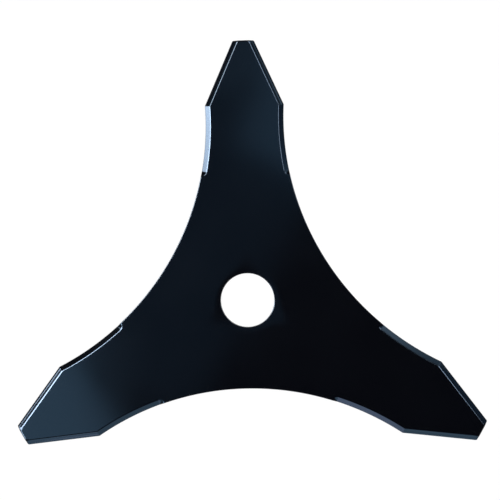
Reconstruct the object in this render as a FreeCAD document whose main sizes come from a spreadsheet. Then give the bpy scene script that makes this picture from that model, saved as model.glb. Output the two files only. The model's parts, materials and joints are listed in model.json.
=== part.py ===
import FreeCAD, Part
import math
import os

import Sketcher
from FreeCAD import Placement, Rotation, Vector

# A three-armed thicket blade for a brushcutter: one hardened steel plate with
# a centre bore, three tapered arms and a round scallop between each two arms.
# Both edges of every arm are bevelled on both faces, so the blade can be
# turned over when one set of edges is dull. The bevels start open at the tip,
# pass the shoulder and end part way down the scallop in a round run-out.
# Frame: origin on the bore axis at the lower face, +Z up, one arm along +Y.
# The body itself is drawn about the plate's middle plane and then raised.

NODE = "blade"

SIZES = {
    # Circle that the three tips run on, across the flats of the tips
    "cutting_diameter": 250.0,
    "plate_thickness": 3.0,
    "arm_count": 3,
    # Standard bore and the small break that takes the burr off its two rims
    "bore_diameter": 25.4,
    "bore_edge_break": 0.2,
    # Square tip of an arm
    "tip_width": 10.3,
    "tip_corner_radius": 0.8,
    # Widest place of an arm, where its straight flanks meet the scallops
    "shoulder_width": 38.0,
    "shoulder_reach": 93.5,
    "shoulder_corner_radius": 1.0,
    # Nearest that a scallop comes to the bore axis
    "throat_reach": 41.6,
    # Slope of a bevel against the face, and the blunt land that it leaves
    "bevel_angle": 29.0,
    "edge_land": 0.25,
    # Straight distance from a shoulder to the end of its bevel
    "bevel_run": 32.6,
}

# Worked out from the sizes: half the angle between two arms, and how deep and
# how wide the cut of a bevel is on its face of the plate
HALF_PITCH = "180 / sizes.arm_count"
BEVEL_DEPTH = "(sizes.plate_thickness - sizes.edge_land) / 2"
BEVEL_WIDTH = f"{BEVEL_DEPTH} / tan(sizes.bevel_angle * 1 deg)"

# A bevel cutter goes past the tip and the shoulder by six bevel widths
PASS_BY = f"6 * {BEVEL_WIDTH} * 1 mm"

# What a sketch calls its origin point, its axes and the ends of a line or arc
ORIGIN = (-1, 1)
HORIZONTAL_AXIS = -1
VERTICAL_AXIS = -2
START, END, CENTRE = 1, 2, 3

UP = Vector(0, 0, 1)
FULL_TURN = 360
# How near an edge lies to the place where a corner or a rim is looked for
NEAR = 0.5


def add_sizes(doc):
    """Put the driving dimensions in a sheet, one named cell each."""
    sheet = doc.addObject("Spreadsheet::Sheet", "sizes")
    for row, (name, value) in enumerate(SIZES.items(), start=1):
        sheet.set(f"A{row}", name)
        sheet.set(f"B{row}", str(value))
        sheet.setAlias(f"B{row}", name)
    doc.recompute()


def origin_plane(body, role):
    """Find one of the body's own origin planes."""
    for feature in body.Origin.OriginFeatures:
        if feature.Role == role:
            return feature
    raise LookupError(role)


def add_sketch(body, name, role="XY_Plane"):
    """Start a sketch on one of the body's origin planes."""
    sketch = body.newObject("Sketcher::SketchObject", name)
    sketch.AttachmentSupport = [(origin_plane(body, role), "")]
    sketch.MapMode = "FlatFace"
    return sketch


def line(sketch, start, end, construction=False):
    """Draw a straight line between two (x, y) points."""
    segment = Part.LineSegment(Vector(*start, 0), Vector(*end, 0))
    return sketch.addGeometry(segment, construction)


def point(sketch, place):
    """Draw a construction point."""
    return sketch.addGeometry(Part.Point(Vector(*place, 0)), True)


def circle(sketch, centre, radius):
    """Draw a full circle about an (x, y) point."""
    return sketch.addGeometry(Part.Circle(Vector(*centre, 0), UP, radius), False)


def tie(sketch, kind, *references):
    """Add a constraint that has no size."""
    sketch.addConstraint(Sketcher.Constraint(kind, *references))


def size(sketch, name, expression, kind, *references):
    """Add a constraint whose size follows an expression."""
    value = float(sketch.evalExpression(expression))
    if kind == "Angle":
        value = math.radians(value)
    index = sketch.addConstraint(Sketcher.Constraint(kind, *references, value))
    sketch.renameConstraint(index, name)
    sketch.setExpression(f"Constraints.{name}", expression)


def place(sketch, name, x, y, *reference):
    """Set how far a point lies from the origin along x and along y."""
    size(sketch, f"{name}_x", x, "DistanceX", *ORIGIN, *reference)
    size(sketch, f"{name}_y", y, "DistanceY", *ORIGIN, *reference)


def measure(sketch, name, kind, *references):
    """Add a reference size, which later features read by its name."""
    index = sketch.addConstraint(Sketcher.Constraint(kind, *references, 1.0))
    sketch.setDriving(index, False)
    sketch.renameConstraint(index, name)


def measure_place(sketch, name, *reference):
    """Add a point's distances from the origin as reference sizes."""
    measure(sketch, f"{name}_x", "DistanceX", *ORIGIN, *reference)
    measure(sketch, f"{name}_y", "DistanceY", *ORIGIN, *reference)


def tip_corner():
    """Give the (x, y) point of the upper arm's right tip corner."""
    return SIZES["tip_width"] / 2, SIZES["cutting_diameter"] / 2


def shoulder_corner():
    """Give the (x, y) point of the upper arm's right shoulder."""
    return SIZES["shoulder_width"] / 2, SIZES["shoulder_reach"]


def add_layout(body):
    """Lay out the right side of the upper arm: flank, scallop, end of the bevel.

    The first guesses only have to lie near: the constraints settle the places.
    """
    tip = tip_corner()
    shoulder = shoulder_corner()
    layout = add_sketch(body, "layout")
    flank = line(layout, tip, shoulder)
    place(layout, "tip", "sizes.tip_width / 2", "sizes.cutting_diameter / 2", flank, START)
    place(layout, "shoulder", "sizes.shoulder_width / 2", "sizes.shoulder_reach", flank, END)
    measure(layout, "flank_angle", "Angle", flank)
    measure(layout, "flank_length", "Distance", flank, START, flank, END)

    # The scallop's centre lies on the line half way between two arms
    lean = math.radians(90 - 180 / SIZES["arm_count"])
    outward = Vector(math.cos(lean), math.sin(lean), 0)
    centre = outward * SIZES["cutting_diameter"] * 0.7
    halfway = line(layout, (0, 0), centre[:2], True)
    tie(layout, "Coincident", halfway, START, *ORIGIN)
    size(layout, "halfway_angle", f"90 - {HALF_PITCH}", "Angle", halfway)

    # Its circle passes the shoulder and the throat
    spoke = Vector(*shoulder, 0) - centre
    start_angle = math.atan2(spoke.y, spoke.x)
    end_angle = start_angle + SIZES["bevel_run"] / spoke.Length
    rim = Part.Circle(centre, UP, spoke.Length)
    run = layout.addGeometry(Part.ArcOfCircle(rim, start_angle, end_angle), False)
    tie(layout, "Coincident", run, START, flank, END)
    tie(layout, "Coincident", run, CENTRE, halfway, END)
    throat = point(layout, (outward * SIZES["throat_reach"])[:2])
    tie(layout, "PointOnObject", throat, START, halfway)
    tie(layout, "PointOnObject", throat, START, run)
    size(layout, "throat_reach", "sizes.throat_reach", "Distance", *ORIGIN, throat, START)
    size(layout, "bevel_run", "sizes.bevel_run", "Distance", run, START, run, END)
    measure(layout, "scallop_radius", "Radius", run)
    measure_place(layout, "centre", run, CENTRE)
    measure_place(layout, "run_end", run, END)

    # Spokes from its centre show how far the bevel turns and where it stops
    to_shoulder = line(layout, centre[:2], shoulder, True)
    tie(layout, "Coincident", to_shoulder, START, run, CENTRE)
    tie(layout, "Coincident", to_shoulder, END, run, START)
    run_end = (shoulder[0], shoulder[1] - SIZES["bevel_run"])
    to_run_end = line(layout, centre[:2], run_end, True)
    tie(layout, "Coincident", to_run_end, START, run, CENTRE)
    tie(layout, "Coincident", to_run_end, END, run, END)
    measure(layout, "run_turn", "Angle", to_shoulder, START, to_run_end, START)
    measure(layout, "run_end_angle", "Angle", to_run_end)


def repeat(body, name, sketch, feature):
    """Repeat one feature round the bore axis, once for each arm."""
    pattern = body.newObject("PartDesign::PolarPattern", name)
    pattern.Originals = [feature]
    pattern.Axis = (sketch, ["N_Axis"])
    pattern.Angle = FULL_TURN
    pattern.setExpression("Occurrences", "sizes.arm_count")
    body.Tip = pattern
    return pattern


def through_cut(body, name, sketch):
    """Pocket a sketch through the plate, both ways from its middle plane."""
    cut = body.newObject("PartDesign::Pocket", name)
    cut.Profile = sketch
    cut.SideType = "Symmetric"
    cut.Type = "ThroughAll"
    body.Tip = cut
    return cut


def add_arms(body):
    """Pad one arm, out to the half-way lines on its two sides, and repeat it."""
    tip_x, tip_y = tip_corner()
    root_x, root_y = tip_y / 2, tip_y / 4
    corners = [(0, 0), (root_x, root_y), (tip_x, tip_y), (-tip_x, tip_y), (-root_x, root_y)]
    sketch = add_sketch(body, "arm_outline")
    sides = [line(sketch, a, b) for a, b in zip(corners, corners[1:] + corners[:1])]
    for before, after in zip(sides, sides[1:] + sides[:1]):
        tie(sketch, "Coincident", before, END, after, START)
    right_root, right_flank, tip, _, left_root = sides
    tie(sketch, "Coincident", right_root, START, *ORIGIN)
    tie(sketch, "Symmetric", tip, START, tip, END, VERTICAL_AXIS)
    tie(sketch, "Symmetric", right_root, END, left_root, START, VERTICAL_AXIS)
    size(sketch, "halfway_angle", f"90 - {HALF_PITCH}", "Angle", right_root)
    place(sketch, "tip", "sizes.tip_width / 2", "sizes.cutting_diameter / 2", tip, START)

    # The flank's line passes the shoulder, and the scallop cuts off its rest
    shoulder = point(sketch, shoulder_corner())
    place(sketch, "shoulder", "sizes.shoulder_width / 2", "sizes.shoulder_reach", shoulder, START)
    tie(sketch, "PointOnObject", shoulder, START, right_flank)

    arm = body.newObject("PartDesign::Pad", "arm")
    arm.Profile = sketch
    arm.SideType = "Symmetric"
    arm.setExpression("Length", "sizes.plate_thickness")
    return repeat(body, "arms", sketch, arm)


def add_scallops(body):
    """Cut the round scallops between the arms."""
    sketch = add_sketch(body, "scallop_outline")
    rim = circle(sketch, tip_corner(), SIZES["cutting_diameter"] / 2)
    place(sketch, "centre", "layout.Constraints.centre_x", "layout.Constraints.centre_y",
          rim, CENTRE)
    size(sketch, "radius", "layout.Constraints.scallop_radius", "Radius", rim)
    scallop = through_cut(body, "scallop", sketch)
    return repeat(body, "scallops", sketch, scallop)


def round_corners(body, name, base, corner, radius):
    """Round the upright edges that stand as far from the bore axis as corner."""
    edges = []
    for number, edge in enumerate(base.Shape.Edges, start=1):
        middle = edge.CenterOfMass
        upright = abs(abs(edge.tangentAt(edge.FirstParameter).z) - 1) < 1e-6
        if upright and abs(math.hypot(middle.x, middle.y) - math.hypot(*corner)) < NEAR:
            edges.append(f"Edge{number}")
    fillet = body.newObject("PartDesign::Fillet", name)
    fillet.Base = (base, edges)
    fillet.setExpression("Radius", radius)
    body.Tip = fillet
    return fillet


def add_bore(body):
    """Cut the bore."""
    sketch = add_sketch(body, "bore_outline")
    rim = circle(sketch, (0, 0), SIZES["bore_diameter"] / 2)
    tie(sketch, "Coincident", rim, CENTRE, *ORIGIN)
    size(sketch, "diameter", "sizes.bore_diameter", "Diameter", rim)
    return through_cut(body, "bore", sketch)


def break_bore_rims(body, bore):
    """Break the two rims of the bore."""
    rims = [
        f"Edge{number}"
        for number, edge in enumerate(bore.Shape.Edges, start=1)
        if isinstance(edge.Curve, Part.Circle)
        and abs(edge.Curve.Radius - SIZES["bore_diameter"] / 2) < NEAR
    ]
    rim_break = body.newObject("PartDesign::Chamfer", "bore_rims")
    rim_break.Base = (bore, rims)
    rim_break.setExpression("Size", "sizes.bore_edge_break")
    body.Tip = rim_break
    return rim_break


def add_section(body, name, x, y, angle):
    """Start an upright sketch at a point of the plate's edge.

    x and y are the expressions of that point's place, and angle that of the
    direction in plan of the sketch's own x axis, which points into the plate.
    """
    section = add_sketch(body, name, "XZ_Plane")
    section.AttachmentOffset = Placement(Vector(0, 0, 0), Rotation(Vector(0, 1, 0), 1))
    section.setExpression("AttachmentOffset.Base.x", x)
    section.setExpression("AttachmentOffset.Base.z", f"-1 * {y}")
    section.setExpression("AttachmentOffset.Rotation.Angle", angle)
    return section


def draw_bevel(section, outside=None):
    """Draw what a bevel takes off: a wedge above a line at the bevel's slope.

    The slope passes the land's upper rim, over the sketch's origin. The wedge
    ends one bevel width past the crease. It starts at the edge of the plate,
    or as far outside it as the expression outside says.
    """
    low, high, outer = (-1, -1), (2, 1), (-1, 1)
    slope = line(section, low, high)
    top = line(section, high, outer)
    back = line(section, outer, low)
    tie(section, "Coincident", slope, END, top, START)
    tie(section, "Coincident", top, END, back, START)
    tie(section, "Coincident", back, END, slope, START)
    tie(section, "Horizontal", top)
    tie(section, "Vertical", back)
    size(section, "bevel_angle", "sizes.bevel_angle", "Angle", slope)
    land = point(section, (0, 0))
    tie(section, "PointOnObject", land, START, slope)
    tie(section, "PointOnObject", land, START, VERTICAL_AXIS)
    size(section, "land_half", "sizes.edge_land / 2", "DistanceY", *ORIGIN, land, START)
    size(section, "reach", f"2 * {BEVEL_WIDTH}", "DistanceX", *ORIGIN, slope, END)
    if outside:
        size(section, "outside", outside, "DistanceX", slope, START, *ORIGIN)
    else:
        tie(section, "PointOnObject", slope, START, VERTICAL_AXIS)


def add_flank_bevel(body):
    """Cut the bevel along the flank, from past the tip to past the shoulder."""
    section = add_section(
        body, "flank_section", "layout.Constraints.tip_x", "layout.Constraints.tip_y",
        "layout.Constraints.flank_angle - 90 deg",
    )
    draw_bevel(section, BEVEL_WIDTH)
    bevel = body.newObject("PartDesign::Pocket", "flank_bevel")
    bevel.Profile = section
    bevel.SideType = "Two sides"
    bevel.setExpression("Length", f"layout.Constraints.flank_length + {PASS_BY}")
    bevel.setExpression("Length2", PASS_BY)
    body.Tip = bevel
    return bevel


def add_run_end_section(body, name):
    """Start an upright sketch where the bevel stops, square to the scallop."""
    return add_section(
        body, name, "layout.Constraints.run_end_x", "layout.Constraints.run_end_y",
        "layout.Constraints.run_end_angle",
    )


def add_scallop_bevel(body):
    """Turn the bevel about the scallop's centre, from its end to past the shoulder."""
    section = add_run_end_section(body, "scallop_section")
    draw_bevel(section, BEVEL_WIDTH)
    turn_x = -SIZES["cutting_diameter"] / 2
    axis = line(section, (turn_x, 0), (turn_x, SIZES["plate_thickness"]), True)
    tie(section, "Vertical", axis)
    tie(section, "PointOnObject", axis, START, HORIZONTAL_AXIS)
    size(section, "axis_length", "sizes.plate_thickness", "DistanceY", axis, START, axis, END)
    size(section, "turn_radius", "layout.Constraints.scallop_radius", "DistanceX",
         axis, START, *ORIGIN)
    bevel = body.newObject("PartDesign::Groove", "scallop_bevel")
    bevel.Profile = section
    bevel.ReferenceAxis = (section, ["Axis0"])
    bevel.Reversed = True
    overrun = f"{PASS_BY} / layout.Constraints.scallop_radius * 1 rad"
    bevel.setExpression("Angle", f"layout.Constraints.run_turn + {overrun}")
    body.Tip = bevel
    return bevel


def add_run_out(body):
    """Cut the cone that the cutter leaves where the bevel stops."""
    section = add_run_end_section(body, "run_out_section")
    draw_bevel(section)
    run_out = body.newObject("PartDesign::Groove", "run_out")
    run_out.Profile = section
    run_out.ReferenceAxis = (section, ["V_Axis"])
    run_out.Angle = FULL_TURN
    body.Tip = run_out
    return run_out


def repeat_bevels(body, cuts):
    """Repeat the cuts on the arm's other edge, the other arms and the other face."""
    bevels = body.newObject("PartDesign::MultiTransform", "bevels")
    bevels.Originals = cuts
    other_edge = body.newObject("PartDesign::Mirrored", "other_edge")
    other_edge.MirrorPlane = (origin_plane(body, "YZ_Plane"), [""])
    other_arms = body.newObject("PartDesign::PolarPattern", "other_arms")
    other_arms.Axis = (body.Document.getObject("arm_outline"), ["N_Axis"])
    other_arms.Angle = FULL_TURN
    other_arms.setExpression("Occurrences", "sizes.arm_count")
    other_face = body.newObject("PartDesign::Mirrored", "other_face")
    other_face.MirrorPlane = (origin_plane(body, "XY_Plane"), [""])
    bevels.Transformations = [other_edge, other_arms, other_face]
    body.Tip = bevels
    return bevels


def after(feature, before):
    """Recompute the document and stop unless the feature took something off."""
    feature.Document.recompute()
    left = feature.Shape.Volume
    if not 0 < left < before.Shape.Volume:
        raise RuntimeError(f"{feature.Name} took nothing off {before.Name}")
    return feature


def build_blade(doc):
    """Build the blade's body, one operation after another."""
    body = doc.addObject("PartDesign::Body", NODE)
    body.Label = NODE
    body.setExpression("Placement.Base.z", "sizes.plate_thickness / 2")
    add_layout(body)
    doc.recompute()
    arms = add_arms(body)
    doc.recompute()
    scallops = after(add_scallops(body), arms)
    tips = after(
        round_corners(body, "tip_corners", scallops, tip_corner(), "sizes.tip_corner_radius"),
        scallops,
    )
    shoulders = after(
        round_corners(body, "shoulder_corners", tips, shoulder_corner(),
                      "sizes.shoulder_corner_radius"),
        tips,
    )
    bore = after(add_bore(body), shoulders)
    rims = after(break_bore_rims(body, bore), bore)
    flank = after(add_flank_bevel(body), rims)
    scallop = after(add_scallop_bevel(body), flank)
    run_out = after(add_run_out(body), scallop)
    after(repeat_bevels(body, [flank, scallop, run_out]), run_out)
    return body


def check(doc, body):
    """Stop if any object failed or the body is not one valid solid."""
    for item in doc.Objects:
        if "Invalid" in item.State or "Error" in item.State:
            raise RuntimeError(f"{item.Name} failed: {item.State}")
    shape = body.Shape
    if shape.isNull() or not shape.isValid() or len(shape.Solids) != 1:
        raise RuntimeError(f"{body.Name} is not one valid solid")


def main():
    doc = FreeCAD.newDocument("thicket_blade")
    add_sizes(doc)
    body = build_blade(doc)
    check(doc, body)
    os.makedirs("parts", exist_ok=True)
    body.Shape.exportStep(os.path.join("parts", f"{body.Label}.step"))
    box = body.Shape.BoundBox
    print(f"{body.Label}: {box.XLength:.2f} x {box.YLength:.2f} x {box.ZLength:.2f} mm,"
          f" {body.Shape.Volume:.0f} mm3")


main()
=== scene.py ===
"""Dress a brushcutter's thicket blade for one studio view.

The blade is one hardened steel plate with three tapered arms, coated black all over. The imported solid
stays as the frame. The piece made here stands in its place and adds what is too fine for the solid: soft
creases, rounded rims, the ripple of the grinding, each bevel's own length and the coat's finish.
"""

import json
import logging
import math
from collections.abc import Sequence
from dataclasses import dataclass, field
from enum import Enum, IntEnum

import bpy
import numpy as np
from mathutils import Euler, Matrix, Vector


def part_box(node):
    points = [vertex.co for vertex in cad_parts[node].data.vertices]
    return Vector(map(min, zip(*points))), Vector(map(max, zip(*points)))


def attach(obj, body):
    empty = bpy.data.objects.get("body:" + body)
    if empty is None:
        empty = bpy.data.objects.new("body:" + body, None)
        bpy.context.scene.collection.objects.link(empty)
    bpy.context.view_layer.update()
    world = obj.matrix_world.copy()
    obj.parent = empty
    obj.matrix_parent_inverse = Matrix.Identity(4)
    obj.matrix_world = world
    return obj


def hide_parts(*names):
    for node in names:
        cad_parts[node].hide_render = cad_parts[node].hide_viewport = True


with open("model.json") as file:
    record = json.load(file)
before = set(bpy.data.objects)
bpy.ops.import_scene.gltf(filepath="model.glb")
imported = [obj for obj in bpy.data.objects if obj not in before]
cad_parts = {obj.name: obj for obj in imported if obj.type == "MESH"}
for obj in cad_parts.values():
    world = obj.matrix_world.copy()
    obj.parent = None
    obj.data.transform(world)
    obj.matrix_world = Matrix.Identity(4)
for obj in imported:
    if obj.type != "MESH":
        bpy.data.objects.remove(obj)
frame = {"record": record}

MM = 0.001
FULL_TURN = 2 * math.pi
WHITE = "ffffff"
LOG = logging.getLogger("thicket_blade")


def linear(hex_colour: str) -> tuple[float, float, float, float]:
    """Turn an sRGB hex colour into the linear colour that a shader takes.

    A channel c becomes c / 12.92 up to 0.04045, and ((c + 0.055) / 1.055) to the power of 2.4 above it.

    Args:
        hex_colour: six hex digits, red, green and blue.

    Returns:
        Linear red, green, blue and an alpha of one.
    """
    steps = [int(hex_colour[i:i + 2], 16) / 255 for i in (0, 2, 4)]
    flat = [c / 12.92 if c <= 0.04045 else ((c + 0.055) / 1.055) ** 2.4 for c in steps]
    return flat[0], flat[1], flat[2], 1.0


def node(
    tree: bpy.types.NodeTree,
    kind: str,
    settings: dict[str | int, object] | None = None,
    links: dict[str | int, bpy.types.NodeSocket] | None = None,
) -> bpy.types.Node:
    """Add one node, set its sockets and link them.

    Args:
        tree: the node tree that it joins.
        kind: the node's type name.
        settings: input's name or place to fixed value.
        links: input's name or place to the output that feeds it.

    Returns:
        The new node.
    """
    added = tree.nodes.new(kind)
    for name, value in (settings or {}).items():
        added.inputs[name].default_value = value
    for name, output in (links or {}).items():
        tree.links.new(output, added.inputs[name])
    return added


def seen(tree: bpy.types.NodeTree) -> bpy.types.NodeSocket:
    """Add the sum of Is Camera Ray, Is Glossy Ray and Is Transmission Ray.

    It is one for a ray along which something is looked at, and zero for one that only carries light.

    Args:
        tree: the node tree that it joins.

    Returns:
        The sum's output.
    """
    ray = node(tree, "ShaderNodeLightPath")
    plain_or_gloss = node(
        tree, "ShaderNodeMath",
        links={0: ray.outputs["Is Camera Ray"], 1: ray.outputs["Is Glossy Ray"]},
    )
    every = node(
        tree, "ShaderNodeMath",
        links={0: plain_or_gloss.outputs[0], 1: ray.outputs["Is Transmission Ray"]},
    )
    return every.outputs[0]


def bend(start: np.ndarray, corner: np.ndarray, end: np.ndarray, t: np.ndarray) -> np.ndarray:
    """Give points of the quadratic curve from start to end that leans towards corner."""
    return (1 - t) ** 2 * start + 2 * t * (1 - t) * corner + t**2 * end


def corner_cut(radius: float, way_in: np.ndarray, way_out: np.ndarray) -> float:
    """Give how far from a corner its rounding starts: r tan(turn / 2)."""
    turn = math.acos(float(np.clip(way_in @ way_out, -1, 1)))
    return radius * math.tan(turn / 2)


def soft_min(a: np.ndarray, b: np.ndarray, width: float) -> np.ndarray:
    """Give the lesser of a and b, less (width - |a - b|)^2 / (4 width) where they are within width."""
    near = np.clip(width - np.abs(a - b), 0, None)
    return np.minimum(a, b) - near**2 / (4 * width)


def closed_grid(name: str, points: np.ndarray) -> bpy.types.Object:
    """Make a mesh of a grid that closes in both directions, with faces that point outwards.

    Args:
        name: the object's name.
        points: rows by columns by three coordinates, in metres.

    Returns:
        The new object, smooth shaded.
    """
    rows, columns = points.shape[:2]
    index = np.arange(rows * columns).reshape(rows, columns)
    across = np.roll(index, -1, 1)
    quads = np.stack([index, np.roll(index, -1, 0), np.roll(across, -1, 0), across], -1).reshape(-1, 4)
    mesh = bpy.data.meshes.new(name)
    mesh.from_pydata(points.reshape(-1, 3), [], quads)
    mesh.polygons.foreach_set("use_smooth", np.ones(len(quads), bool))
    mesh.update()
    piece = bpy.data.objects.new(name, mesh)
    bpy.context.scene.collection.objects.link(piece)
    return piece


@dataclass(frozen=True)
class Coat:
    """Black stoved enamel, sprayed over ground steel.

    The enamel is nearly black with a trace of blue and has a satin gloss. It flows into a very fine orange
    peel, so a lamp's reflection in it has a soft edge, and its gloss drifts a little from place to place.
    """

    name: str = "black_stoved_enamel"
    colour: str = "050509"
    ior: float = 1.5
    roughness: float = 0.115
    rougher: float = 0.145
    cloud_mm: float = 30.0
    cloud_detail: float = 1.0
    cloud_low: float = 0.3
    cloud_high: float = 0.7
    peel_mm: float = 1.5
    peel_detail: float = 0.0
    peel_height_mm: float = 0.0006

    def build(self) -> bpy.types.Material:
        """Make the material: orange peel as a bump, and a roughness that follows a slow cloud.

        Returns:
            The enamel, ready to be put on a mesh.
        """
        material = bpy.data.materials.new(self.name)
        material.use_nodes = True
        tree = material.node_tree
        shader = tree.nodes["Principled BSDF"]
        shader.inputs["Base Color"].default_value = linear(self.colour)
        shader.inputs["IOR"].default_value = self.ior
        place = node(tree, "ShaderNodeTexCoord")
        peel = node(
            tree, "ShaderNodeTexNoise",
            {"Scale": 1 / (self.peel_mm * MM), "Detail": self.peel_detail},
            {"Vector": place.outputs["Object"]},
        )
        orange_peel = node(
            tree, "ShaderNodeBump",
            {"Distance": self.peel_height_mm * MM},
            {"Height": peel.outputs["Fac"]},
        )
        cloud = node(
            tree, "ShaderNodeTexNoise",
            {"Scale": 1 / (self.cloud_mm * MM), "Detail": self.cloud_detail},
            {"Vector": place.outputs["Object"]},
        )
        gloss = node(
            tree, "ShaderNodeMapRange",
            {
                "From Min": self.cloud_low,
                "From Max": self.cloud_high,
                "To Min": self.roughness,
                "To Max": self.rougher,
            },
            {"Value": cloud.outputs["Fac"]},
        )
        tree.links.new(gloss.outputs["Result"], shader.inputs["Roughness"])
        tree.links.new(orange_peel.outputs["Normal"], shader.inputs["Normal"])
        return material


class Stretch(IntEnum):
    """The stretches of half an arm's outline, in order from the tip's middle to the throat."""

    TIP = 0
    TIP_CORNER = 1
    FLANK = 2
    SHOULDER = 3
    SCALLOP = 4
    RUN_OUT = 5
    THROAT = 6


@dataclass(frozen=True)
class Rows:
    """How the mesh's rows are spread across the section: counts, and millimetres in from the edge.

    They lie close together where the surface turns, on the rims, beside them and at the crease. The fields
    bevel_to and crease_from are short of the crease, and crease_to and past_crease beyond it.
    """

    rim: int = 7
    beside_rim: int = 7
    crowding: float = 1.3
    bevel: int = 9
    bevel_from: float = 1.0
    bevel_to: float = 0.5
    crease: int = 14
    crease_from: float = 0.4
    crease_to: float = 0.5
    past_crease: tuple[float, ...] = (0.65, 0.95)
    face: int = 9

    def turn(self) -> np.ndarray:
        """Give the angle of each row on a rim, from its wall to its face."""
        return np.linspace(0, math.pi / 2, self.rim)

    def depths(self, rim: np.ndarray, crease: float, inset: float) -> np.ndarray:
        """Place the rows from the wall to the inset outline.

        A row on the rim lies at r (1 - cos turn). The ones beside it crowd towards it by a power.

        Args:
            rim: radius of the rim, one row for each step along the outline and one column.
            crease: distance from the edge to the crease.
            inset: distance from the edge to the last row.

        Returns:
            Distances in from the edge: steps along the outline by rows of the section.
        """
        share = np.linspace(0, 1, self.beside_rim + 2)[1:-1]
        inner = np.concatenate([
            np.linspace(self.bevel_from, crease - self.bevel_to, self.bevel),
            np.linspace(crease - self.crease_from, crease + self.crease_to, self.crease),
            crease + np.array(self.past_crease),
            np.array([inset]),
        ])
        return np.concatenate([
            rim * (1 - np.cos(self.turn())),
            rim + (self.bevel_from - rim) * share**self.crowding,
            np.broadcast_to(inner, (len(rim), inner.size)),
        ], 1)


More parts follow.
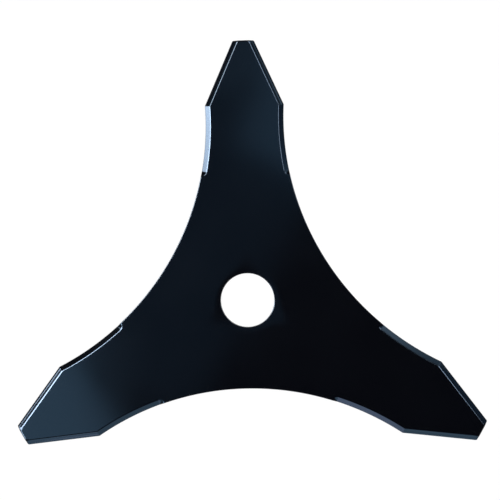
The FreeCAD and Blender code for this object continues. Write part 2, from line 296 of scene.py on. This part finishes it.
@dataclass
class ThicketBlade:
    """The blade in millimetres, laid out on the right half of the arm that points along Y.

    A width is right across the arm and a reach is from the bore's axis. A bevel's run is its chord from the
    shoulder to its end, for the left and the right side of the top, the lower right and the lower left arm:
    each was ground on its own, so they differ a little. The ripple is the waviness that grinding leaves on
    a flank's bevel. The rim is larger at the tip, as far down as tip_margin, and nowhere under rim_least.

    The outline is carried in as far as inset, and corner_fade is the share of a corner's rounding that is
    gone there. The field end_reach is how much of the scallop has close steps on each side of the bevel's
    end, and steps counts those on each Stretch.
    """

    tip_width: float = 10.3
    tip_corner: float = 0.8
    shoulder_width: float = 38.0
    shoulder_reach: float = 93.5
    shoulder_corner: float = 0.728
    corner_fade: float = 0.6
    throat_reach: float = 41.6
    bevel_angle: float = 29.0
    edge_land: float = 0.25
    bevel_runs: tuple[float, ...] = (31.6, 31.6, 31.5, 33.7, 32.3, 33.7)
    mitre_softness: float = 0.08
    crease_softness: float = 0.19
    ripple: float = 0.011
    ripple_length: float = 1.35
    ripple_start: float = 1.0
    rim_radius: float = 0.28
    rim_least: float = 0.04
    tip_rim_radius: float = 0.9
    tip_margin: float = 0.05
    inset: float = 4.0
    end_reach: float = 3.4
    arms: int = 3
    steps: tuple[int, ...] = (5, 8, 26, 8, 26, 44, 20)
    rows: Rows = Rows()
    cutting_radius: float = field(init=False)
    thickness: float = field(init=False)
    bore_radius: float = field(init=False)
    tip: np.ndarray = field(init=False)
    tip_way: np.ndarray = field(init=False)
    flank_way: np.ndarray = field(init=False)
    flank_inward: np.ndarray = field(init=False)
    shoulder: np.ndarray = field(init=False)
    shoulder_angle: float = field(init=False)
    centre: np.ndarray = field(init=False)
    scallop_radius: float = field(init=False)
    scallop_way: np.ndarray = field(init=False)
    throat_angle: float = field(init=False)

    def __post_init__(self) -> None:
        """Read the reach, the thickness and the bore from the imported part, and lay the outline out."""
        low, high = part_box("blade")
        self.cutting_radius = high[1] / MM
        self.thickness = (high[2] - low[2]) / MM
        bore = next(m for m in frame["record"]["mounts"] if m["kind"] == "bore")
        self.bore_radius = bore["dims"]["r_mm"]
        self.lay_out()

    def lay_out(self) -> None:
        """Work out the scallop's circle, and the places and ways of the outline's lines.

        The centre lies on the half-way line between two arms, at the distance c where its circle passes
        both the shoulder S and the throat: c = (S.S - t.t) / (2 (S.u - t)).
        """
        half_pitch = math.pi / self.arms
        half_way = np.array([math.sin(half_pitch), math.cos(half_pitch)])
        self.tip = np.array([self.tip_width / 2, self.cutting_radius])
        self.shoulder = np.array([self.shoulder_width / 2, self.shoulder_reach])
        along = self.shoulder @ half_way
        reach = (self.shoulder @ self.shoulder - self.throat_reach**2) / (2 * (along - self.throat_reach))
        self.centre = reach * half_way
        self.scallop_radius = reach - self.throat_reach
        self.tip_way = np.array([1.0, 0.0])
        heading = self.shoulder - self.tip
        self.flank_way = heading / np.hypot(*heading)
        self.flank_inward = np.array([self.flank_way[1], -self.flank_way[0]])
        spoke = self.shoulder - self.centre
        self.shoulder_angle = math.atan2(spoke[1], spoke[0]) % FULL_TURN
        self.scallop_way = np.array([-math.sin(self.shoulder_angle), math.cos(self.shoulder_angle)])
        self.throat_angle = math.atan2(half_way[1], half_way[0]) + math.pi

    @property
    def bevel_width(self) -> float:
        """Width of the bevel seen from above: its depth over the tangent of its angle."""
        depth = (self.thickness - self.edge_land) / 2
        return depth / math.tan(math.radians(self.bevel_angle))

    def end_angle(self, run: float) -> float:
        """Give the angle on the scallop at which a bevel ends: its chord is run."""
        return self.shoulder_angle + 2 * math.asin(run / 2 / self.scallop_radius)

    def on_scallop(self, angle: np.ndarray, depth: np.ndarray) -> np.ndarray:
        """Give the points at these angles on the scallop's circle, once it is depth larger."""
        radius = self.scallop_radius + depth
        return self.centre + radius[..., None] * np.stack([np.cos(angle), np.sin(angle)], -1)

    def stations(self) -> tuple[np.ndarray, np.ndarray]:
        """List the steps along half an arm's outline.

        Returns:
            Each step's stretch, and how far along the stretch it is, from zero to one.
        """
        stretch = np.repeat(list(Stretch), self.steps)
        share = np.concatenate([np.arange(n) / n for n in self.steps])
        return np.append(stretch, Stretch.THROAT), np.append(share, 1.0)

    def tip_mitre(self, depth: np.ndarray) -> np.ndarray:
        """Give where the tip's and the flank's lines meet when both move in by depth.

        The flank's line at depth u is tip + u n + t w, and its height there is the tip's height less u.

        Args:
            depth: distances in from the edge.

        Returns:
            Points in the plane, with depth's shape and a last axis of two.
        """
        along = (-depth - depth * self.flank_inward[1]) / self.flank_way[1]
        return self.tip + depth[..., None] * self.flank_inward + along[..., None] * self.flank_way

    def shoulder_mitre(self, depth: np.ndarray) -> np.ndarray:
        """Give where the flank's line and the scallop's circle meet when both move in by depth.

        It is the root of |tip + u n + t w - c| = R + u nearest to the shoulder.

        Args:
            depth: distances in from the edge.

        Returns:
            Points in the plane, with depth's shape and a last axis of two.
        """
        start = self.tip + depth[..., None] * self.flank_inward - self.centre
        half = start @ self.flank_way
        gap = (start * start).sum(-1) - (self.scallop_radius + depth) ** 2
        along = -half - np.sqrt(half * half - gap)
        return start + self.centre + along[..., None] * self.flank_way

    def half_outline(self, depth: np.ndarray, end_angle: float) -> np.ndarray:
        """Carry the half outline inwards, from the tip's middle to the throat.

        Each stretch runs from one mitre to the next, so its points stay side by side at every depth. A
        corner is a quadratic curve between points a short way before and after its mitre, and it grows
        sharper inwards.

        Args:
            depth: distances in from the edge, one row for each step along the outline.
            end_angle: angle on the scallop at which the bevel ends.

        Returns:
            Points in the plane, with depth's shape and a last axis of two.
        """
        stretch, share = (column[:, None] for column in self.stations())
        kept = 1 - self.corner_fade * depth / self.inset
        tip_cut = kept * corner_cut(self.tip_corner, self.tip_way, self.flank_way)
        shoulder_cut = kept * corner_cut(self.shoulder_corner, self.flank_way, self.scallop_way)

        middle = np.stack([np.zeros_like(depth), self.cutting_radius - depth], -1)
        tip, shoulder = self.tip_mitre(depth), self.shoulder_mitre(depth)
        tip_in = tip - tip_cut[..., None] * self.tip_way
        tip_out = tip + tip_cut[..., None] * self.flank_way
        shoulder_in = shoulder - shoulder_cut[..., None] * self.flank_way

        spoke = shoulder - self.centre
        mitre_angle = np.arctan2(spoke[..., 1], spoke[..., 0]) % FULL_TURN
        arc_start = mitre_angle + shoulder_cut / (self.scallop_radius + depth)
        near_end = self.end_reach / self.scallop_radius
        before, after = end_angle - near_end, end_angle + near_end
        angle = np.select(
            [stretch == Stretch.SCALLOP, stretch == Stretch.RUN_OUT],
            [arc_start + share * (before - arc_start), before + share * (after - before)],
            after + share * (self.throat_angle - after),
        )

        pick, t = stretch[..., None], share[..., None]
        return np.select(
            [
                pick == Stretch.TIP,
                pick == Stretch.TIP_CORNER,
                pick == Stretch.FLANK,
                pick == Stretch.SHOULDER,
            ],
            [
                middle + t * (tip_in - middle),
                bend(tip_in, tip, tip_out, t),
                tip_out + t * (shoulder_in - tip_out),
                bend(shoulder_in, shoulder, self.on_scallop(arc_start, depth), t),
            ],
            self.on_scallop(angle, depth),
        )

    def half_height(self, points: np.ndarray, end_angle: float) -> np.ndarray:
        """Give how high the upper face stands over the middle plane.

        It is the softer of the flat face and the bevel's slope, land / 2 + tan(angle) d, where d is the
        distance to the bevelled edge: the flank's line, the scallop's arc, and past its end a point. Beside
        the flank, ripple sin(2 pi (d - ripple_start) / ripple_length) is taken off the slope.

        Args:
            points: points in the plane, with a last axis of two.
            end_angle: angle on the scallop at which the bevel ends.

        Returns:
            Heights, in the shape of the points without their last axis.
        """
        flank = (points - self.tip) @ self.flank_inward
        spoke = points - self.centre
        angle = np.arctan2(spoke[..., 1], spoke[..., 0]) % FULL_TURN
        ring = np.hypot(spoke[..., 0], spoke[..., 1]) - self.scallop_radius
        way = np.array([math.cos(end_angle), math.sin(end_angle)])
        end = spoke - self.scallop_radius * way
        run = np.where(angle < end_angle, ring, np.hypot(end[..., 0], end[..., 1]))
        distance = soft_min(flank, run, self.mitre_softness)
        phase = FULL_TURN * (distance - self.ripple_start) / self.ripple_length
        ripple = np.where(flank < run, -self.ripple * np.sin(phase), 0)
        slope = self.edge_land / 2 + math.tan(math.radians(self.bevel_angle)) * distance + ripple
        return soft_min(np.full_like(slope, self.thickness / 2), slope, self.crease_softness)

    def rim_size(self, edge: np.ndarray, end_angle: float) -> np.ndarray:
        """Give the radius of the rim along the edge: large at the tip, and less where the wall is low.

        Args:
            edge: points in the plane on the edge.
            end_angle: angle on the scallop at which the bevel ends.

        Returns:
            Radii, in the shape of the points without their last axis.
        """
        at_tip = edge[..., 1] > self.cutting_radius - self.tip_margin
        full = np.where(at_tip, self.tip_rim_radius, self.rim_radius)
        return full * self.half_height(edge, end_angle) / (self.thickness / 2) + self.rim_least

    def face_and_bore(self, inner: np.ndarray) -> np.ndarray:
        """Carry the surface straight over the flat face, round the bore's rim and down its wall.

        A row on the rim lies at bore + r (1 - cos turn) and r (1 - sin turn) under the face.

        Args:
            inner: points in the plane on the inset outline, one for each step.

        Returns:
            Points on a grid: steps along the outline by rows, the last row on the middle plane.
        """
        away = inner / np.hypot(inner[:, 0], inner[:, 1])[:, None]
        rim_start = away * (self.bore_radius + self.rim_radius)
        share = np.linspace(0, 1, self.rows.face + 1)[1:, None]
        flat = inner[:, None] + share * (rim_start - inner)[:, None]
        turn = self.rows.turn()[-2::-1]
        reach = self.bore_radius + self.rim_radius * (1 - np.cos(turn))
        wall = away[:, None] * np.append(reach, self.bore_radius)[:, None]
        places = np.concatenate([flat, wall], 1)
        level = np.concatenate([
            np.full(self.rows.face, self.thickness / 2),
            self.thickness / 2 - self.rim_radius * (1 - np.sin(turn)),
            np.zeros(1),
        ])
        return np.concatenate([places, np.broadcast_to(level[:, None], places.shape[:2] + (1,))], -1)

    def upper_half(self, run: float) -> np.ndarray:
        """Make the upper half of one side of an arm as a grid.

        Args:
            run: chord of the scallop from the shoulder to where this side's bevel ends.

        Returns:
            Points on a grid: steps along the outline by rows from the edge's middle to the bore's middle.
        """
        end_angle = self.end_angle(run)
        edge = self.half_outline(np.zeros((self.stations()[0].size, 1)), end_angle)
        rim = self.rim_size(edge, end_angle)
        points = self.half_outline(self.rows.depths(rim, self.bevel_width, self.inset), end_angle)
        height = self.half_height(points, end_angle)
        height[:, :self.rows.rim] -= rim * (1 - np.sin(self.rows.turn()))
        places = np.concatenate([points[:, :1], points], 1)
        levels = np.concatenate([np.zeros((len(points), 1)), height], 1)
        outer = np.concatenate([places, levels[..., None]], -1)
        return np.concatenate([outer, self.face_and_bore(points[:, -1])], 1)

    def grid(self) -> np.ndarray:
        """Join the sides of the arms into the whole blade.

        An arm's left side is a right side mirrored over its middle line. The arms are turned to their
        places, and the rows are mirrored over the middle plane, so the grid closes in both directions.

        Returns:
            Points in metres: steps round the outline by rows round the section.
        """
        sides = np.stack([self.upper_half(run) for run in self.bevel_runs])
        left = sides[0::2] * np.array([-1.0, 1.0, 1.0])
        arms = np.concatenate([left[:, ::-1][:, 1:-1], sides[1::2]], 1)
        turns = -FULL_TURN / self.arms * np.arange(self.arms)
        cos, sin = np.cos(turns)[:, None, None], np.sin(turns)[:, None, None]
        x, y, z = arms[..., 0], arms[..., 1], arms[..., 2]
        turned = np.stack([x * cos - y * sin, x * sin + y * cos, z], -1)
        upper = turned.reshape(-1, *arms.shape[2:])
        lower = upper[:, 1:-1][:, ::-1] * np.array([1.0, 1.0, -1.0])
        whole = np.concatenate([upper, lower], 1)
        return (whole + np.array([0, 0, self.thickness / 2])) * MM

    def build(self) -> bpy.types.Object:
        """Make the blade's mesh, with its object at the origin."""
        return closed_grid("blade_body", self.grid())

    def dress(self, piece: bpy.types.Object, coat: Coat) -> None:
        """Give the piece its coat and its place in the frame.

        Args:
            piece: the blade's object.
            coat: the finish that it gets.
        """
        piece.data.materials.append(coat.build())
        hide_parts("blade")
        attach(piece, "root")


class Use(Enum):
    """What a lamp is for: it lights the scene, or is only seen in the gloss of the coat."""

    LIGHTS = "lights"
    REFLECTS = "reflects"


@dataclass(frozen=True)
class Softbox:
    """One studio lamp, placed by the direction that it shines from.

    The angles are in degrees and the lengths in metres. A radiance of one looks white.
    """

    name: str
    use: Use
    azimuth: float
    elevation: float
    distance: float
    width: float
    height: float
    radiance: float
    colour: str = WHITE

    def build(self, target: Vector) -> None:
        """Hang the lamp and turn it to the target.

        Its power is radiance times pi times area, so that its surface has the radiance given.

        Args:
            target: the place that it shines at.
        """
        a, e = math.radians(self.azimuth), math.radians(self.elevation)
        way = Vector((math.cos(e) * math.cos(a), math.cos(e) * math.sin(a), math.sin(e)))
        lamp = bpy.data.lights.new(self.name, "AREA")
        lamp.shape = "RECTANGLE"
        lamp.size, lamp.size_y = self.width, self.height
        lamp.energy = self.radiance * math.pi * self.width * self.height
        lamp.color = linear(self.colour)[:3]
        hung = bpy.data.objects.new(self.name, lamp)
        hung.visible_glossy = self.use is Use.REFLECTS
        hung.visible_diffuse = self.use is Use.LIGHTS
        hung.location = target + way * self.distance
        hung.rotation_euler = way.to_track_quat("Z", "Y").to_euler()
        bpy.context.scene.collection.objects.link(hung)


@dataclass(frozen=True)
class Studio:
    """Camera, floor, room and lamps.

    The lens and the sensor are in millimetres. The fields blade_turn and blade_place, in degrees and
    millimetres, are how the blade's middle plane stands before the camera. The floor's sizes and the clips
    are in metres. The horizon is white up to white_until and the room dim from dim_from, in degrees, and
    blue_at is how far the fade has come where it is blue.
    """

    lens: float = 50.4
    sensor: float = 36.0
    clip_near: float = 0.01
    clip_far: float = 50.0
    blade_turn: tuple[float, float, float] = (-2.443, -1.95, 1.097)
    blade_place: tuple[float, float, float] = (-1.13, -23.79, -332.79)
    floor_reach: float = 6.0
    floor_sides: int = 96
    gap: float = 0.00005
    paper_grey: str = "505050"
    paper_glow: float = 0.94
    white_until: float = 8.0
    dim_from: float = 23.0
    room_colour: str = "7088a0"
    room_strength: float = 0.07
    horizon_blue: str = "5080a8"
    blue_at: float = 0.4
    lamps: tuple[Softbox, ...] = (
        Softbox("overhead", Use.LIGHTS, 90, 90, 1.6, 1.4, 1.4, 4.6),
        Softbox("strip_left", Use.REFLECTS, 165, 29.8, 3.0, 0.92, 0.61, 22.5, "c6e0ff"),
        Softbox("high_left", Use.REFLECTS, 168, 49, 3.0, 0.9, 1.1, 50.0, "c6e0ff"),
        Softbox("high_upper_left", Use.REFLECTS, 140, 50, 3.0, 1.2, 0.85, 19.5, "cbe4ff"),
        Softbox("edge_left", Use.REFLECTS, 210, 39, 3.0, 0.9, 0.9, 16.0, "b0d8ff"),
        Softbox("high_right", Use.REFLECTS, 17, 52, 3.0, 0.75, 0.63, 14.0, "c0dcff"),
        Softbox("high_upper_right", Use.REFLECTS, 54, 50, 3.0, 0.52, 0.63, 13.0, "c0dcff"),
        Softbox("hook_left", Use.REFLECTS, 200, 51, 3.0, 0.9, 0.5, 20.0, "c6e0ff"),
        Softbox("run_right", Use.REFLECTS, 36.5, 28.5, 2.9, 0.42, 0.3, 1.3, "b8dcff"),
        Softbox("run_front", Use.REFLECTS, 261, 25.5, 2.9, 0.65, 0.34, 1.75, "c4ccff"),
        Softbox("low_far_right", Use.REFLECTS, 14, 27, 3.0, 1.0, 0.6, 0.36, "80c0ff"),
        Softbox("low_front", Use.REFLECTS, 268, 23, 3.0, 3.2, 1.2, 1.4, "a2d4ff"),
        Softbox("low_right", Use.REFLECTS, 42, 31, 3.0, 2.0, 0.85, 0.85, "a2d4ff"),
        Softbox("face_low_left", Use.REFLECTS, 207, 59.2, 3.0, 1.9, 1.34, 1.47, "94ceff"),
        Softbox("face_left", Use.REFLECTS, 150, 78, 3.0, 1.5, 1.2, 0.17, "80c4ff"),
        Softbox("face_top", Use.REFLECTS, 64, 72, 3.0, 0.85, 0.85, 0.72, "90ccff"),
        Softbox("face_tip", Use.REFLECTS, 90, 68, 3.0, 0.7, 0.45, 0.4, "90ccff"),
    )

    def camera(self, middle: float) -> None:
        """Set up the camera from where the blade's middle plane, with its edges, lies in its view.

        Args:
            middle: height of the blade's middle plane, in metres.
        """
        turn = Euler([math.radians(a) for a in self.blade_turn], "XYZ").to_matrix().transposed()
        place = turn @ (Vector(self.blade_place) * -MM) + Vector((0, 0, middle))
        data = bpy.data.cameras.new("camera")
        data.lens, data.sensor_width = self.lens, self.sensor
        data.clip_start, data.clip_end = self.clip_near, self.clip_far
        camera = bpy.data.objects.new("camera", data)
        camera.matrix_world = Matrix.Translation(place) @ turn.to_4x4()
        bpy.context.scene.collection.objects.link(camera)
        bpy.context.scene.camera = camera

    def paper(self) -> bpy.types.Material:
        """Make the white paper: grey to the lamps, white to the camera and to the coat's gloss.

        Returns:
            The paper, which still shows the blade's shadow, because its grey is lit and the white added.
        """
        material = bpy.data.materials.new("white_paper")
        material.use_nodes = True
        tree = material.node_tree
        tree.nodes.clear()
        out = node(tree, "ShaderNodeOutputMaterial")
        grey = node(tree, "ShaderNodeBsdfDiffuse", {"Color": linear(self.paper_grey)})
        glow = node(tree, "ShaderNodeEmission", {"Color": linear(WHITE), "Strength": self.paper_glow})
        both = node(tree, "ShaderNodeAddShader", links={0: grey.outputs[0], 1: glow.outputs[0]})
        chosen = node(
            tree, "ShaderNodeMixShader",
            links={0: seen(tree), 1: grey.outputs[0], 2: both.outputs[0]},
        )
        tree.links.new(chosen.outputs[0], out.inputs["Surface"])
        return material

    def floor(self) -> None:
        """Lay the round floor of paper, a hair under the blade so that the two never share a plane.

        It is one face: corners at even angles on a circle.
        """
        around = np.linspace(0, FULL_TURN, self.floor_sides, endpoint=False)
        rim = np.stack([np.cos(around), np.sin(around), 0 * around], -1) * self.floor_reach
        mesh = bpy.data.meshes.new("floor")
        mesh.from_pydata(rim - np.array([0, 0, self.gap]), [], [tuple(range(self.floor_sides))])
        mesh.materials.append(self.paper())
        floor = bpy.data.objects.new("floor", mesh)
        bpy.context.scene.collection.objects.link(floor)

    def world(self) -> None:
        """Fill the room: a white horizon, as behind a sweep of paper, that fades into a dim ceiling.

        The fade follows the sine of the height over the horizon, which is the third coordinate of the
        way that a ray leaves. It is only looked at: the light that the room gives is dim all round.
        """
        world = bpy.data.worlds.new("room")
        bpy.context.scene.world = world
        world.use_nodes = True
        tree = world.node_tree
        tree.nodes.clear()
        out = node(tree, "ShaderNodeOutputWorld")
        dim = node(
            tree, "ShaderNodeBackground",
            {"Color": linear(self.room_colour), "Strength": self.room_strength},
        )
        way = node(tree, "ShaderNodeTexCoord")
        height = node(tree, "ShaderNodeSeparateXYZ", links={0: way.outputs["Generated"]})
        fade = node(
            tree, "ShaderNodeMapRange",
            {
                "From Min": math.sin(math.radians(self.dim_from)),
                "From Max": math.sin(math.radians(self.white_until)),
            },
            {"Value": height.outputs["Z"]},
        )
        fade.interpolation_type = "SMOOTHSTEP"
        shades = node(tree, "ShaderNodeValToRGB", links={"Fac": fade.outputs["Result"]})
        ramp = shades.color_ramp.elements
        ramp[0].color = [c * self.room_strength for c in linear(self.room_colour)[:3]] + [1.0]
        ramp[1].color = linear(WHITE)
        ramp.new(self.blue_at).color = linear(self.horizon_blue)
        pale = node(tree, "ShaderNodeBackground", {"Strength": 1.0}, {"Color": shades.outputs["Color"]})
        chosen = node(
            tree, "ShaderNodeMixShader",
            links={0: seen(tree), 1: dim.outputs[0], 2: pale.outputs[0]},
        )
        tree.links.new(chosen.outputs[0], out.inputs["Surface"])

    def build(self, middle: float) -> None:
        """Set up the camera, floor, room and lamps.

        Args:
            middle: height of the blade's middle plane, in metres.
        """
        self.camera(middle)
        self.floor()
        self.world()
        for lamp in self.lamps:
            lamp.build(Vector((0, 0, middle)))
        bpy.context.scene.view_settings.view_transform = "Standard"


def main() -> None:
    """Build the studio and the blade, and report each piece."""
    logging.basicConfig(level=logging.INFO, format="%(name)s: %(message)s")
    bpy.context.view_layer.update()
    blade = ThicketBlade()
    Studio().build(blade.thickness / 2 * MM)
    body = blade.build()
    blade.dress(body, Coat())
    LOG.info("%s: %d faces", body.name, len(body.data.polygons))


if __name__ == "__main__":
    main()
